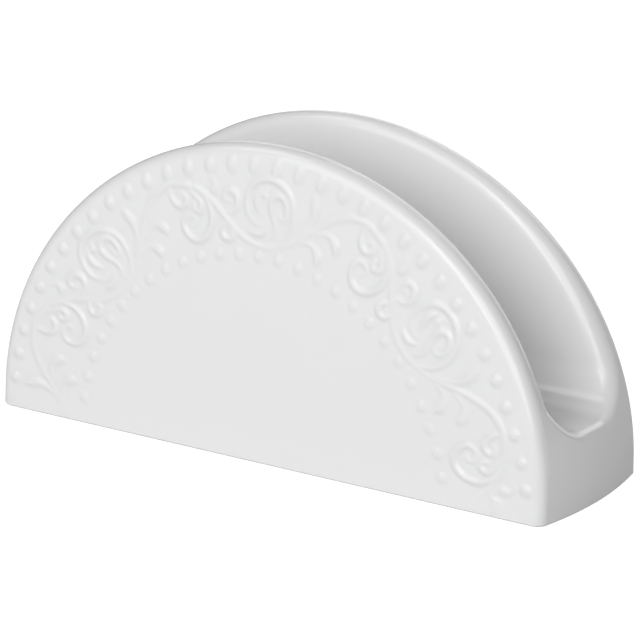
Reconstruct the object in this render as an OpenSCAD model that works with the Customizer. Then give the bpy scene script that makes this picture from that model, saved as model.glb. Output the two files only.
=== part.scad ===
// Napkin holder of glazed porcelain: two half-round walls with soft rounded rims stand on one foot,
// with a round-bottomed slot between them that is open at the top and at both ends.
// X runs along the length, Y through the depth with the front wall at -Y, and Z points up.
// The origin is the middle of the footprint, on the surface that the holder stands on.

/* [Body] */
// Length of each half-round wall, without the bow of the ends
wall_l = 156; // [130:1:190]
// Height from the table to the top of the rims
body_h = 78.5; // [68:0.5:90]
// Depth over the two walls at the foot
foot_d = 47; // [43:0.5:56]
// Inward lean of the outer faces, in degrees
wall_lean = 2.4; // [0:0.1:3]
// Thickness of a wall at the top of its rim
rim_t = 6.2; // [5.4:0.1:7.4]
// Roundness of the arch, where 2 is an ellipse
arch_power = 1.98; // [1.8:0.02:2.3]
// Height at which the arch springs from its short upright sides
spring_h = 4.9; // [3:0.1:8]
// How far each end bows out between the walls
end_bow = 2; // [0.5:0.1:3]

/* [Edges] */
// Radius of the edge between an outer face and its rim
face_edge_r = 3.2; // [2:0.1:3.6]
// Radius of the edge between a rim and the slot, at the top of the rim
slot_edge_r = 3; // [1.8:0.1:3.2]
// Radius to which that edge grows down to the lip, where the slot floor turns down at each end
lip_r = 5; // [3:0.1:5.4]

/* [Slot] */
// Height of the slot floor above the table
slot_floor_h = 18.5; // [16:0.5:24]
// Radius of the two hollow corners along the slot floor
slot_corner_r = 10; // [6:0.5:11.5]
// Thickness of the slot floor
floor_t = 5; // [4:0.25:6]
// Thickness left at the top edge of the trough's hollow corners
trough_edge_t = 0.4; // [0.3:0.05:0.8]

/* [Foot] */
// Height of the bare foot under the glaze
foot_h = 0.6; // [0.5:0.1:1.2]
// How far the bare foot is set in from the glazed outline
foot_inset = 0.7; // [0.5:0.1:1.5]
// How far the glazed walls tuck in above the foot
foot_tuck = 0.6; // [0.4:0.1:1.2]
// Thickness of each end block, from its hollow side to its outer face
end_t = 6; // [5:0.25:8]
// Depth of the panel's underside above the table
panel_recess = 1.6; // [1.3:0.1:2.5]
// Thickness of the panel that closes the underside
panel_t = 3.4; // [2.5:0.1:4.5]
// Diameter of the drain hole in the panel
drain_d = 7; // [5:0.5:9]

/* [Bead rows] */
// Distance of the outer bead row from the outline
outer_row_inset = 6; // [5.4:0.1:7]
// Distance of the inner bead row from the outline
inner_row_inset = 29.4; // [27:0.1:32]
// Number of beads in the outer row
outer_bead_n = 33; // [25:1:37]
// Number of beads in the inner row
inner_bead_n = 27; // [19:1:31]
// Length of an outer bead, across the row
outer_bead_l = 4.2; // [3.6:0.1:4.8]
// Width of an outer bead, along the row
outer_bead_w = 3.2; // [2.4:0.1:3.6]
// Height of an outer bead above the face
outer_bead_relief = 0.8; // [0.5:0.05:1]
// Diameter of an inner bead
inner_bead_w = 2.6; // [2:0.1:3]
// Height of an inner bead above the face
inner_bead_relief = 0.6; // [0.4:0.05:0.8]

/* [Scroll] */
// Angle between one repeat of the scroll and the next, in degrees
repeat_angle = 49; // [47:0.5:51]
// Angle at which the first repeat starts, from the left foot
first_angle = 4; // [2:0.5:6]
// Width of the main stem of the scroll
stem_w = 1.8; // [1.4:0.1:2]
// Width of the small curls
curl_w = 1.2; // [0.9:0.1:1.3]
// Width of the leaves
leaf_w = 1.9; // [1.4:0.1:2]
// Height of the scroll above the face
scroll_relief = 0.8; // [0.5:0.05:1]

/* [Hidden] */

// The arch is a superellipse over the springing line
arch_a = wall_l / 2;
arch_b = body_h - spring_h;
lean_slope = tan(wall_lean);
rim_half_d = foot_d / 2 - body_h * lean_slope;
slot_w = 2 * (rim_half_d - rim_t);
slot_half = slot_w / 2;

// The rim's two edge radii together never exceed its thickness
edge_fit = min(1, rim_t / (face_edge_r + slot_edge_r));
face_r = face_edge_r * edge_fit;
slot_r = slot_edge_r * edge_fit;

// The lip leaves a little of the end block's thickness flat
lip_fit = min(lip_r, end_t - trough_edge_t);

// Stations of the wall loft along the arch, and steps round each edge
arch_steps = 64;
edge_steps = 4;
lip_steps = 6;

// Height above the floor over which the bow of the ends fades out
fade_share = 0.8;
fade_h = fade_share * slot_floor_h;
trough_half = slot_half - trough_edge_t;
trough_flat = trough_half - slot_corner_r;
trough_top_h = slot_floor_h + slot_corner_r;
end_in_x = arch_x(trough_top_h) - end_t;
bow_half = foot_d / 2 - face_r;

// Rows of the ornament on the faces
outer_row_r = arch_a - outer_row_inset;
inner_row_r = arch_a - inner_row_inset;
band_w = outer_row_r - inner_row_r;
row_squash = arch_b / arch_a;
outer_row_end_angle = 2.5;
inner_row_end_angle = 3.5;

// Steps between two points of a stroke, and flats round its back
stroke_steps = 2;
stroke_flats = 3;
tip_share = 0.35;

// The scroll's strokes, as shares of one repeat along the band and of the band's width across it.
// The stem leaves the side of one volute, dips, and rises over the top of the next.
stem_shares = [[0.435, 0.6], [0.469, 0.45], [0.52, 0.28], [0.58, 0.16], [0.653, 0.1], [0.735, 0.11],
    [0.816, 0.18], [0.898, 0.32], [1, 0.54], [1.082, 0.72], [1.143, 0.84], [1.224, 0.89],
    [1.306, 0.85], [1.375, 0.7], [1.41, 0.52], [1.402, 0.35], [1.347, 0.23], [1.276, 0.24],
    [1.23, 0.36], [1.255, 0.48], [1.305, 0.45], [1.297, 0.36]];
first_stem_shares = [for (p = stem_shares) if (p.x >= 1) p];
oval_shares = [[0.62, 0.23], [0.6, 0.36], [0.6, 0.55], [0.633, 0.74], [0.694, 0.85], [0.765, 0.86],
    [0.833, 0.76], [0.865, 0.57], [0.853, 0.38], [0.806, 0.28], [0.755, 0.33], [0.731, 0.46],
    [0.739, 0.63], [0.78, 0.69], [0.808, 0.6], [0.785, 0.5]];
curl_shares = [
    [[0.322, 0.76], [0.276, 0.79], [0.237, 0.74], [0.237, 0.64], [0.271, 0.6], [0.296, 0.67]],
    [[0.37, 0.61], [0.353, 0.66], [0.32, 0.62], [0.318, 0.54], [0.351, 0.5], [0.367, 0.555]],
    [[0.502, 0.6], [0.506, 0.67], [0.535, 0.72], [0.562, 0.635], [0.56, 0.5], [0.531, 0.435], [0.502, 0.47]],
    [[0.496, 0.26], [0.475, 0.33], [0.445, 0.28], [0.445, 0.19], [0.474, 0.14], [0.495, 0.19]],
    [[0.7, 0.76], [0.672, 0.66], [0.66, 0.5], [0.675, 0.37]],
    [[0.645, 0.26], [0.684, 0.22], [0.72, 0.27]]];
leaf_shares = [
    [[0.92, 0.45], [0.945, 0.54], [0.955, 0.68], [0.945, 0.82]],
    [[0.045, 0.56], [0.092, 0.57], [0.129, 0.47], [0.127, 0.34]],
    [[-0.03, 0.36], [0, 0.35], [0.041, 0.27], [0.041, 0.14]],
    [[0.435, 0.88], [0.462, 0.8], [0.45, 0.69]]];
last_curl_n = 2;

// Half-length of the arch at a height, by the superellipse
function arch_x(z) =
    z <= spring_h ? arch_a
    : arch_a * pow(max(0, 1 - pow((z - spring_h) / arch_b, arch_power)), 1 / arch_power);

// A smooth step from 0 to 1
function smooth(u) =
    let (v = min(1, max(0, u)))
    v * v * (3 - 2 * v);

// How much of the end bow is left at a height
function bow_part(z) = 1 - smooth((z - slot_floor_h) / fade_h);

// Radius of the slot's edge at a height, never more than the outer edge leaves of the wall
function slot_edge_at(z) =
    let (down = min(1, max(0, (body_h - z) / (body_h - slot_floor_h))))
    let (wall_t = rim_t + (body_h - z) * lean_slope)
    min(slot_r + (lip_fit - slot_r) * down, wall_t - face_r);

// Depth of a point below the surface of the slot
function slot_depth(y, z) =
    norm([max(0, abs(y) - slot_half + slot_corner_r), max(0, trough_top_h - z)]) - slot_corner_r;

// How far an edge of radius r is cut back at a depth d below the surface of the slot
function edge_inset(d, r) = d >= r ? 0 : r - sqrt(r * r - pow(r - max(0, d), 2));

// How far the end surface stands out at a depth y
function bow(y) = end_bow * (1 - pow(min(1, abs(y) / bow_half), 2));

// Height of the slot floor at a depth y
function floor_at(y) =
    abs(y) <= trough_flat ? slot_floor_h
    : slot_floor_h + slot_corner_r
        - sqrt(max(0, pow(slot_corner_r, 2) - pow(min(abs(y), trough_half) - trough_flat, 2)));

// Outer face of the front wall at a height
function face_y(z) = -foot_d / 2 + z * lean_slope;

// Stations round a wall's outline: [x, z, outward x, outward z]
function arch_station(angle) =
    let (c = cos(angle), s = sin(angle), side = sign(c))
    let (cp = pow(abs(c), 2 / arch_power), sp = pow(s, 2 / arch_power))
    let (nx = side * pow(abs(c), 2 - 2 / arch_power) / arch_a, nz = pow(s, 2 - 2 / arch_power) / arch_b)
    let (n = norm([nx, nz]))
    [side * arch_a * cp, spring_h + arch_b * sp, nx / n, nz / n];
wall_stations = concat(
    [[arch_a - foot_tuck, foot_h, 1, 0], [arch_a, foot_h + foot_tuck, 1, 0]],
    [for (i = [0:arch_steps]) arch_station(180 * i / arch_steps)],
    [[-arch_a, foot_h + foot_tuck, -1, 0], [foot_tuck - arch_a, foot_h, -1, 0]]);

// A point of the front wall's edge: inset from the outline, at depth y
function edge_point(st, inset, y) =
    let (z = st[1] - inset * st[3])
    let (out = bow(y) * bow_part(z) * st[2])
    [st[0] - inset * st[2] + out, y, z];

// One ring across the edge, from the outer face to the slot side
function edge_ring(st) =
    let (r = slot_edge_at(st[1]))
    concat(
        [for (i = [0:edge_steps])
            let (a = 90 * i / edge_steps, inset = face_r * (1 - sin(a)))
            edge_point(st, inset, face_y(st[1] - inset * st[3]) + face_r * (1 - cos(a)))],
        [for (i = [0:edge_steps])
            let (a = 90 * i / edge_steps, y = -slot_half - r * (1 - sin(a)))
            edge_point(st, edge_inset(slot_depth(y, st[1]), r), y)]);

// A closed loft through rings with equal counts of points, with flat caps on both ends
module loft(rings) {
    m = len(rings[0]);
    n = len(rings);
    sides = [for (i = [0:n - 2]) for (j = [0:m - 1])
        let (a = i * m + j, b = i * m + (j + 1) % m)
        each [[a, b, b + m], [a, b + m, a + m]]];
    first_cap = [[for (j = [m - 1:-1:0]) j]];
    last_cap = [[for (j = [0:m - 1]) (n - 1) * m + j]];
    polyhedron(points = [for (r = rings) each r], faces = concat(sides, first_cap, last_cap));
}

// The front wall: an arch whose edge rings are closed by the leaning outer face and the upright slot face
module wall_plate() {
    rings = [for (st = wall_stations) edge_ring(st)];
    m = len(rings[0]);
    n = len(rings);
    edge = [for (i = [0:n - 2]) for (j = [0:m - 2])
        let (a = i * m + j)
        each [[a, a + m, a + m + 1], [a, a + m + 1, a + 1]]];
    outer_face = [[for (i = [n - 1:-1:0]) i * m]];
    slot_face = [[for (i = [0:n - 1]) i * m + m - 1]];
    under = [concat([for (j = [0:m - 1]) j], [for (j = [m - 1:-1:0]) (n - 1) * m + j])];
    polyhedron(points = [for (r = rings) each r], faces = concat(edge, outer_face, slot_face, under));
}

// Turns a thing made for the front round to the back
module to_back() {
    rotate([0, 0, 180])
        children();
}

module front_wall() {
    color("white")
        wall_plate();
}

module back_wall() {
    color("white")
        to_back()
            wall_plate();
}

// Cross-section of the slot, as far as the trough reaches
module slot_section() {
    translate([-trough_half, slot_floor_h + slot_corner_r])
        square([2 * trough_half, slot_corner_r]);
    translate([-trough_flat, slot_floor_h])
        square([2 * trough_flat, 2 * slot_corner_r]);
    for (side = [-1, 1])
        translate([side * trough_flat, slot_floor_h + slot_corner_r])
            circle(r = slot_corner_r, $fn = 64);
}

// The floor of the slot with its hollow corners, from one end block to the other
module slot_trough() {
    color("whitesmoke")
        rotate([90, 0, 90])
            translate([0, 0, -end_in_x])
                linear_extrude(height = 2 * end_in_x)
                    difference() {
                        translate([-slot_half, slot_floor_h - floor_t])
                            square([slot_w, floor_t + slot_corner_r]);
                        slot_section();
                    }
}

// Depths at which the end block is cut into rings, closer round the hollow corners
corner_depths = [for (i = [0:edge_steps]) trough_flat + slot_corner_r * sin(90 * i / edge_steps)];
flat_depths = [for (i = [-1:1]) i * trough_flat / 2];
end_depths = concat([-slot_half], [for (i = [edge_steps:-1:0]) -corner_depths[i]], flat_depths,
    corner_depths, [slot_half]);

// One upright slice of the right end block, with its lip rounded over
function end_slice(y) =
    let (top = floor_at(y), low = foot_h + foot_tuck, lip_z = slot_floor_h - lip_fit)
    let (heights = [low, (2 * low + lip_z) / 3, (low + 2 * lip_z) / 3])
    let (cut = function (z) edge_inset(slot_depth(y, z), slot_edge_at(z)))
    let (face = function (z) arch_x(z) + bow(y) * bow_part(z) - cut(z))
    concat(
        [[end_in_x, y, foot_h], [face(low) - foot_tuck, y, foot_h]],
        [for (z = heights) [face(z), y, z]],
        [for (i = [0:lip_steps])
            let (z = lip_z + (top - lip_z) * sin(90 * i / lip_steps))
            [face(z), y, z]],
        [[end_in_x, y, top]]);

module end_block() {
    loft([for (y = end_depths) end_slice(y)]);
}

module right_end() {
    color("whitesmoke")
        end_block();
}

module left_end() {
    color("whitesmoke")
        to_back()
            end_block();
}

// The panel that closes the underside between the walls and the end blocks, with its drain hole
module base_panel() {
    color("gainsboro")
        difference() {
            translate([-end_in_x, -slot_half, panel_recess])
                cube([2 * end_in_x, slot_w, panel_t]);
            translate([0, 0, panel_recess - panel_t])
                cylinder(d = drain_d, h = 3 * panel_t, $fn = 48);
        }
}

// Outline of the footprint, set in from the glazed outline
function end_edge(y, inset) = arch_a - inset + bow(y);
module footprint(inset) {
    half_d = foot_d / 2 - inset;
    corner = face_r;
    flat = half_d - corner;
    bend = [for (i = [0:edge_steps]) 90 * i / edge_steps];
    right = concat(
        [for (a = bend) [end_edge(flat, inset) - corner * (1 - sin(a)), -flat - corner * cos(a)]],
        [for (i = [-3:3]) [end_edge(i * flat / 4, inset), i * flat / 4]],
        [for (a = bend) [end_edge(flat, inset) - corner * (1 - cos(a)), flat + corner * sin(a)]]);
    left = [for (p = right) [-p.x, -p.y]];
    polygon(concat(right, left));
}

// The bare ring of biscuit that the holder stands on
module foot_ring() {
    color("antiquewhite")
        linear_extrude(height = foot_h)
            difference() {
                footprint(foot_inset);
                translate([-end_in_x - foot_inset, -slot_half - foot_inset])
                    square([2 * (end_in_x + foot_inset), slot_w + 2 * foot_inset]);
            }
}

// Places a thing made on the plane y = 0 onto the leaning face of the front wall
module on_face() {
    translate([0, -foot_d / 2, 0])
        rotate([-wall_lean, 0, 0])
            children();
}

// Point of the ornament's polar grid, in the plane of the face
function face_point(angle, r) = [-r * cos(angle), spring_h + r * row_squash * sin(angle)];
function band_point(p, k) =
    face_point(first_angle + (k + p.x) * repeat_angle, inner_row_r + p.y * band_w);

// A bead seated on the face: the cap of a spindle, l long, w wide and h high
module bead(l, w, h) {
    rho = (w * w / 4 + h * h) / (2 * h);
    sunk = rho - h;
    shift = (l * l / (4 * h) - rho - sunk) / 2;
    arc_r = rho + shift;
    half_l = sqrt(arc_r * arc_r - shift * shift);
    intersection() {
        translate([0, sunk, 0])
            rotate_extrude($fn = 32)
                intersection() {
                    translate([-shift, 0])
                        circle(r = arc_r, $fn = 48);
                    translate([0, -half_l])
                        square([rho, 2 * half_l]);
                }
        translate([-w, -2 * h, -l])
            cube([2 * w, 2 * h, 2 * l]);
    }
}

// A row of beads that follows the arch, each turned towards the middle of the foot
module bead_row(count, r, end_angle, l, w, h) {
    for (i = [0:count - 1]) {
        angle = end_angle + (180 - 2 * end_angle) * i / (count - 1);
        p = face_point(angle, r);
        translate([p.x, 0, p.y])
            rotate([0, angle - 90, 0])
                bead(l, w, h);
    }
}

module outer_beads() {
    on_face()
        bead_row(outer_bead_n, outer_row_r, outer_row_end_angle, outer_bead_l, outer_bead_w,
            outer_bead_relief);
}

module inner_beads() {
    on_face()
        bead_row(inner_bead_n, inner_row_r, inner_row_end_angle, inner_bead_w, inner_bead_w,
            inner_bead_relief);
}

// A smooth path through the points, with straight tangents at its two ends
function spline_point(a, b, c, d, u) =
    ((2 * b) + (c - a) * u + (2 * a - 5 * b + 4 * c - d) * u * u
        + (3 * b - a - 3 * c + d) * u * u * u) / 2;
function spline(pts) =
    let (n = len(pts) - 1)
    concat(
        [for (i = [0:n - 1]) for (k = [0:stroke_steps - 1])
            spline_point(pts[max(0, i - 1)], pts[i], pts[i + 1], pts[min(n, i + 2)], k / stroke_steps)],
        [pts[n]]);

// A stroke of the scroll: a flat-backed ridge that is widest in its middle and thin at its tips
module stroke(pts, w) {
    path = spline(pts);
    n = len(path) - 1;
    rings = [for (i = [0:n])
        let (t = path[min(n, i + 1)] - path[max(0, i - 1)])
        let (side = [-t.y, t.x] / norm(t), part = tip_share + (1 - tip_share) * sin(180 * i / n))
        [for (j = [0:stroke_flats])
            let (a = 180 * j / stroke_flats, off = side * w * part * cos(a) / 2)
            [path[i].x + off.x, -scroll_relief * part * sin(a), path[i].y + off.y]]];
    loft(rings);
}

// Every repeat of a list of strokes, from repeat number first to repeat number last
module strokes(list, w, first, last) {
    for (k = [first:last])
        for (s = list)
            stroke([for (p = s) band_point(p, k)], w);
}

module scroll_stems() {
    on_face() {
        strokes([first_stem_shares], stem_w, -1, -1);
        strokes([stem_shares], stem_w, 0, 2);
        strokes([oval_shares], stem_w, 0, 2);
    }
}

module scroll_curls() {
    on_face() {
        strokes(curl_shares, curl_w, 0, 2);
        strokes([for (i = [0:last_curl_n - 1]) curl_shares[i]], curl_w, 3, 3);
    }
}

module scroll_leaves() {
    on_face() {
        strokes(leaf_shares, leaf_w, 0, 2);
        strokes([leaf_shares[1], leaf_shares[2]], leaf_w, 3, 3);
    }
}

module front_outer_beads() {
    color("ivory")
        outer_beads();
}

module front_inner_beads() {
    color("ivory")
        inner_beads();
}

module front_scroll_stems() {
    color("ivory")
        scroll_stems();
}

module front_scroll_curls() {
    color("ivory")
        scroll_curls();
}

module front_scroll_leaves() {
    color("ivory")
        scroll_leaves();
}

module back_outer_beads() {
    color("ivory")
        to_back()
            outer_beads();
}

module back_inner_beads() {
    color("ivory")
        to_back()
            inner_beads();
}

module back_scroll_stems() {
    color("ivory")
        to_back()
            scroll_stems();
}

module back_scroll_curls() {
    color("ivory")
        to_back()
            scroll_curls();
}

module back_scroll_leaves() {
    color("ivory")
        to_back()
            scroll_leaves();
}

front_wall();
back_wall();
slot_trough();
left_end();
right_end();
base_panel();
foot_ring();
front_outer_beads();
front_inner_beads();
front_scroll_stems();
front_scroll_curls();
front_scroll_leaves();
back_outer_beads();
back_inner_beads();
back_scroll_stems();
back_scroll_curls();
back_scroll_leaves();
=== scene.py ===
"""Napkin holder of white glazed porcelain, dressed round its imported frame.

Two half-round walls with a moulded scroll and bead band stand on one foot, with a slot between
them. The glazed skin is one soft surface, given by a distance function, so that the pieces meet
without a seam. Lengths are in millimetres, and meshes are written in metres.
"""

import logging
import math
from dataclasses import dataclass, field
from enum import Enum
from typing import Callable, Optional, Union

import bpy
import numpy as np
from mathutils import Matrix, Vector


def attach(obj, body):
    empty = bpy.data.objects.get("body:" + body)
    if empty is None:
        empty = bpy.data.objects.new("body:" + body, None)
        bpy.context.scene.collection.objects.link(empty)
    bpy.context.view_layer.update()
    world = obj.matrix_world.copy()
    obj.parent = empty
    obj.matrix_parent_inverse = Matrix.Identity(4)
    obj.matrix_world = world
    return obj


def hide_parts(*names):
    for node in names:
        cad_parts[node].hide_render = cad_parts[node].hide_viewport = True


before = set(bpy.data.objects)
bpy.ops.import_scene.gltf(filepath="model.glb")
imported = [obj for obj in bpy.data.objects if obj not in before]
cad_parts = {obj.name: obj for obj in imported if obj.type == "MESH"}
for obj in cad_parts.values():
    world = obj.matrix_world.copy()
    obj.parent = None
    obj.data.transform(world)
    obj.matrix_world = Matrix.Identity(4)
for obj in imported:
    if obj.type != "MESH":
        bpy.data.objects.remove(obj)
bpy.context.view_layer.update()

log = logging.getLogger("napkin_holder")
MM = 0.001
BODY = "root"
TINY = 1e-9
MIX_COLOURS = (6, 7)
MIXED_COLOUR = 2
Points = np.ndarray
Piece = bpy.types.Object
Material = bpy.types.Material
Node = bpy.types.Node
Socket = bpy.types.NodeSocket
Colour = tuple[float, float, float]
Plain = Union[float, "Num"]


class Side(Enum):
    """The two walls."""

    FRONT = "front"
    BACK = "back"


class Stroke(Enum):
    """Kinds of stroke, by width and relief in millimetres, and by how late they swell."""

    STEM = (1.8, 0.46, 1.0)
    CURL = (1.7, 0.6, 1.0)
    LEAF = (2.4, 0.56, 2.6)


def unit(ways: Points) -> Points:
    """Brings vectors to a length of 1."""
    return ways / np.maximum(np.linalg.norm(ways, axis=-1, keepdims=True), TINY)


def eased(share: Points) -> Points:
    """A share that leaves 0 and reaches 1 softly."""
    return share * share * (3 - 2 * share)


def at_height(flat: Points, z: float) -> Points:
    """Points in x and y, put at a height."""
    return np.concatenate([flat, np.full((len(flat), 1), z)], 1)


def free_axes(p: Points, *held: object) -> Points:
    """Marks the axes that points may move along.

    Args:
        p: The points.
        *held: Places in their array that are held.

    Returns:
        1 where a point may move, and 0 where it is held.
    """
    free = np.ones_like(p)
    for place in held:
        free[place] = 0
    return free


def new_object(name: str, data: bpy.types.ID) -> Piece:
    """Makes an object and links it to the scene.

    Args:
        name: Its name.
        data: Its mesh, lamp or camera.

    Returns:
        The object.
    """
    obj = bpy.data.objects.new(name, data)
    bpy.context.scene.collection.objects.link(obj)
    return obj


@dataclass(frozen=True)
class BodySizes:
    """Sizes of the porcelain body, in millimetres."""

    arch_a: float = 78.0
    body_h: float = 78.5
    foot_d: float = 47.0
    wall_lean: float = 2.4
    rim_t: float = 6.2
    arch_power: float = 1.98
    spring_h: float = 4.9
    end_bow: float = 2.0
    bow_fade_share: float = 0.8
    face_r: float = 3.2
    slot_r: float = 3.0
    lip_r: float = 5.0
    floor_lip_r: float = 2.2
    slot_floor_h: float = 18.5
    slot_corner_r: float = 10.0
    floor_t: float = 5.0
    foot_h: float = 0.2
    foot_tuck: float = 0.3
    panel_recess: float = 1.6
    panel_t: float = 3.4
    end_t: float = 6.0
    drain_d: float = 7.0
    seam_in: float = 0.3

    @property
    def arch_b(self) -> float:
        """Rise of the arch above its springing line."""
        return self.body_h - self.spring_h

    @property
    def slope(self) -> float:
        """Inward lean of a face for each millimetre of height."""
        return math.tan(math.radians(self.wall_lean))

    @property
    def slot_half(self) -> float:
        """Half of the slot's width."""
        return self.foot_d / 2 - self.body_h * self.slope - self.rim_t

    @property
    def cavity_half_l(self) -> float:
        """Half-length of the hollow under the slot."""
        return float(self.arch_x(np.array(self.slot_floor_h + self.slot_corner_r))) - self.end_t

    @property
    def low(self) -> float:
        """Height at which the skin starts to turn under the foot."""
        return self.foot_h + self.foot_tuck

    def slot_edge(self, z: Points) -> Points:
        """Radius of the slot's edge: fuller lower down, and tight again at the floor.

        Args:
            z: Heights.

        Returns:
            The radius at each height.
        """
        down = np.clip((self.body_h - z) / (self.body_h - self.slot_floor_h), 0, 1)
        full = self.slot_r + (self.lip_r - self.slot_r) * down
        up = np.clip((z - self.slot_floor_h) / self.slot_corner_r, 0, 1)
        return self.floor_lip_r + (full - self.floor_lip_r) * eased(up)

    def seam_y(self, z: Points) -> Points:
        """Depth at which a wall meets the slot's skin, just inside the end of the slot's edge."""
        down = (self.body_h - z) / (self.body_h - self.slot_floor_h)
        return self.slot_half - self.seam_in + self.slot_r + (self.lip_r - self.slot_r) * down

    def arch_x(self, z: Points) -> Points:
        """Half-length of the arch at a height."""
        share = np.clip((z - self.spring_h) / self.arch_b, 0, 1)
        return self.arch_a * (1 - share**self.arch_power) ** (1 / self.arch_power)

    def bow(self, y: Points, z: Points) -> Points:
        """How far the end surface stands out.

        Args:
            y: Depths.
            z: Heights.

        Returns:
            The way out at each.
        """
        half = self.foot_d / 2 - self.face_r
        across = 1 - np.minimum(1, np.abs(y) / half) ** 2
        fade_h = self.bow_fade_share * self.slot_floor_h
        return self.end_bow * across * (1 - eased(np.clip((z - self.slot_floor_h) / fade_h, 0, 1)))

    def face_y(self, z: Points) -> Points:
        """Depth of the front face at a height."""
        return -self.foot_d / 2 + z * self.slope

    def arch_stations(self, angles: Points) -> tuple[Points, Points]:
        """Points and outward normals of the arch, in x and z.

        Args:
            angles: Angles from the right foot, in degrees.

        Returns:
            The points and the normals, each of shape (n, 2).
        """
        c, s = np.cos(np.radians(angles)), np.sin(np.radians(angles))
        n = self.arch_power
        x = np.sign(c) * self.arch_a * np.abs(c) ** (2 / n)
        z = self.spring_h + self.arch_b * np.abs(s) ** (2 / n)
        nx = np.sign(c) * np.abs(c) ** (2 - 2 / n) / self.arch_a
        nz = np.abs(s) ** (2 - 2 / n) / self.arch_b
        size = np.hypot(nx, nz)
        return np.stack([x, z], -1), np.stack([nx / size, nz / size], -1)


def round_join(a: Points, b: Points, radius: Union[float, Points]) -> Points:
    """The meeting of two solids, given as distances, with its edge rounded.

    Args:
        a: Distance to the first solid, negative inside.
        b: Distance to the second solid.
        radius: Radius of the edge, or one for each point.

    Returns:
        The distance to what both solids share.
    """
    return np.minimum(np.maximum(a, b), -radius) + np.hypot(
        np.maximum(a + radius, 0), np.maximum(b + radius, 0))


@dataclass(frozen=True)
class GlazedSkin:
    """The soft outer surface of the body, as a distance function.

    The slope is probed over a short way, and a point settles in steps of at most max_step.
    """

    sizes: BodySizes = BodySizes()
    settle_steps: int = 6
    max_step: float = 1.0
    least_slope: float = 1e-3
    probe: float = 0.002
    level_h: float = 6.0

    def distance(self, p: Points) -> Points:
        """Signed distance to the skin, near enough for settling on it.

        Args:
            p: Points.

        Returns:
            The distance of each, negative inside.
        """
        s = self.sizes
        x, y, z = np.abs(p[..., 0]), np.abs(p[..., 1]), p[..., 2]
        n = s.arch_power
        u = np.maximum(x - s.bow(y, z), TINY) / s.arch_a
        v = np.maximum(z - s.spring_h, 0) / s.arch_b
        g = (u**n + v**n) ** (1 / n)
        steep = np.hypot((u / g) ** (n - 1) / s.arch_a, (v / g) ** (n - 1) / s.arch_b)
        arch = (g - 1) / steep
        face = (y + s.face_y(z)) * math.cos(math.radians(s.wall_lean))
        qy = y - (s.slot_half - s.slot_corner_r)
        qz = (s.slot_floor_h + s.slot_corner_r) - z
        slot = (np.hypot(np.maximum(qy, 0), np.maximum(qz, 0))
                + np.minimum(np.maximum(qy, qz), 0) - s.slot_corner_r)
        body = round_join(round_join(arch, face, s.face_r), -slot, s.slot_edge(z))
        return round_join(body, s.foot_h - z, s.foot_tuck)

    def slope_at(self, p: Points) -> Points:
        """Gradient of the distance.

        Args:
            p: Points.

        Returns:
            The gradient at each.
        """
        out = np.zeros_like(p)
        for axis in range(3):
            step = np.zeros(3)
            step[axis] = self.probe
            out[..., axis] = (self.distance(p + step) - self.distance(p - step)) / (2 * self.probe)
        return out

    def normals(self, p: Points) -> Points:
        """Outward unit normals at points of the skin."""
        return unit(self.slope_at(p))

    def settle(self, p: Points, free: Points) -> Points:
        """Moves points onto the skin.

        Args:
            p: Points near the skin.
            free: For each point, 1 for each axis that it may move along, and 0 for the others.

        Returns:
            The settled points.
        """
        p = p.copy()
        for _ in range(self.settle_steps):
            slope = self.slope_at(p) * free
            size = np.maximum((slope * slope).sum(-1, keepdims=True), self.least_slope)
            p -= np.clip(self.distance(p)[..., None] * slope / size, -self.max_step, self.max_step)
        return p

    def tuck(self, line: Points, steps: int, ends: Points) -> Points:
        """Rows under a line along the foot, round the tuck to the underside.

        The tuck goes in along the skin's level normals, taken level_h higher up.

        Args:
            line: The points of the line.
            steps: The number of rows under it.
            ends: For its first and last point, the axes along which they may be pushed in.

        Returns:
            The rows, the line among them.
        """
        s = self.sizes
        level = unit(self.normals(line + np.array([0, 0, self.level_h])) * np.array([1, 1, 0]))
        level[[0, -1]] *= ends
        rows = [line]
        for k, a in enumerate(np.linspace(0, math.pi / 2, steps + 1)[1:], 1):
            row = line - s.foot_tuck * (1 - math.cos(a)) * level
            row[:, 2] -= s.foot_tuck * math.sin(a)
            if k < steps:
                row = self.settle(row, free_axes(row, np.s_[[0, -1], 1]))
            rows.append(row)
        return np.stack(rows, 0)


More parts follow.
